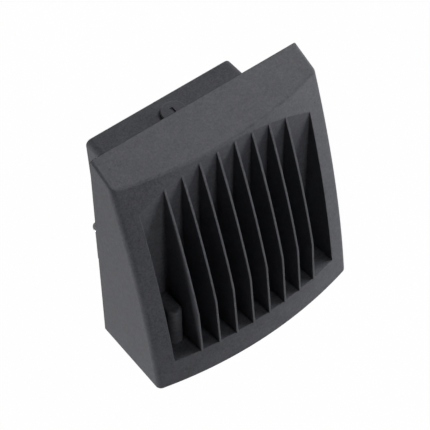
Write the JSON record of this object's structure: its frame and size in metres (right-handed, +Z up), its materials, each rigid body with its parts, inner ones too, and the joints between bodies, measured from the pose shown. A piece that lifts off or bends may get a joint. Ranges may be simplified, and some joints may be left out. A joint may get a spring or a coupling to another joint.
{
  "type": "wall light",
  "caption": "Full-cutoff LED wall light: a wedge-shaped cast door with cooling fins in a front recess, hinged on a narrower back box with slotted conduit plugs.",
  "frame": {"origin": "on the wall face, at the middle of the back box and of its fixing holes", "axes": "+X across to the right seen from the front, +Y into the wall, +Z up; the front faces -Y"},
  "size_m": [0.192, 0.1336, 0.2145],
  "materials": {
    "graphite_casting": "fine textured graphite powder coat",
    "graphite_plug": "fine textured graphite powder coat",
    "stainless_steel": "plain turned",
    "black_silicone": "moulded matt",
    "grey_rubber": "moulded sheet",
    "clear_glass": "polished",
    "white_board": "solder mask",
    "led_phosphor": "silicone dome",
    "clear_optic": "moulded clear",
    "thermal_sheet": "filled silicone",
    "driver_case": "moulded case",
    "black_insulation": "wire insulation",
    "white_insulation": "wire insulation",
    "green_insulation": "wire insulation",
    "red_insulation": "wire insulation",
    "connector_body": "moulded",
    "green_screw": "dyed zinc"
  },
  "bodies": {
    "base": {"back_box": "graphite_casting", "wall_pad": "grey_rubber", "hinge_pin": "stainless_steel", "ground_screw": "green_screw", "top_conduit_plug": "graphite_plug", "left_conduit_plug": "graphite_plug", "right_conduit_plug": "graphite_plug", "top_plug_ring": "black_silicone", "left_plug_ring": "black_silicone", "right_plug_ring": "black_silicone"},
    "door": {"door_housing": "graphite_casting", "door_seal": "black_silicone", "lens_frame": "graphite_casting", "lens": "clear_glass", "lens_seal": "black_silicone", "frame_screws": "stainless_steel", "thermal_pad": "thermal_sheet", "led_board": "white_board", "led_chips": "led_phosphor", "led_optics": "clear_optic", "board_screws": "stainless_steel", "driver": "driver_case", "driver_screws": "stainless_steel", "lead_grommet": "black_silicone", "led_leads": "red_insulation", "line_lead": "black_insulation", "neutral_lead": "white_insulation", "ground_lead": "green_insulation", "push_in_connectors": "connector_body"},
    "screw": {"captive_screw": "stainless_steel", "screw_retainer": "stainless_steel"}
  },
  "joints": [
    {"name": "door_hinge", "type": "hinge", "parent": "base", "child": "door", "pos_m": [-0.0839, -0.0367, 0], "axis": [0, 0, -1], "range_deg": [0, 100]},
    {"name": "captive_screw_travel", "type": "slide", "parent": "door", "child": "screw", "axis": [0, -1, 0], "range_m": [0, 0.01]}
  ]
}
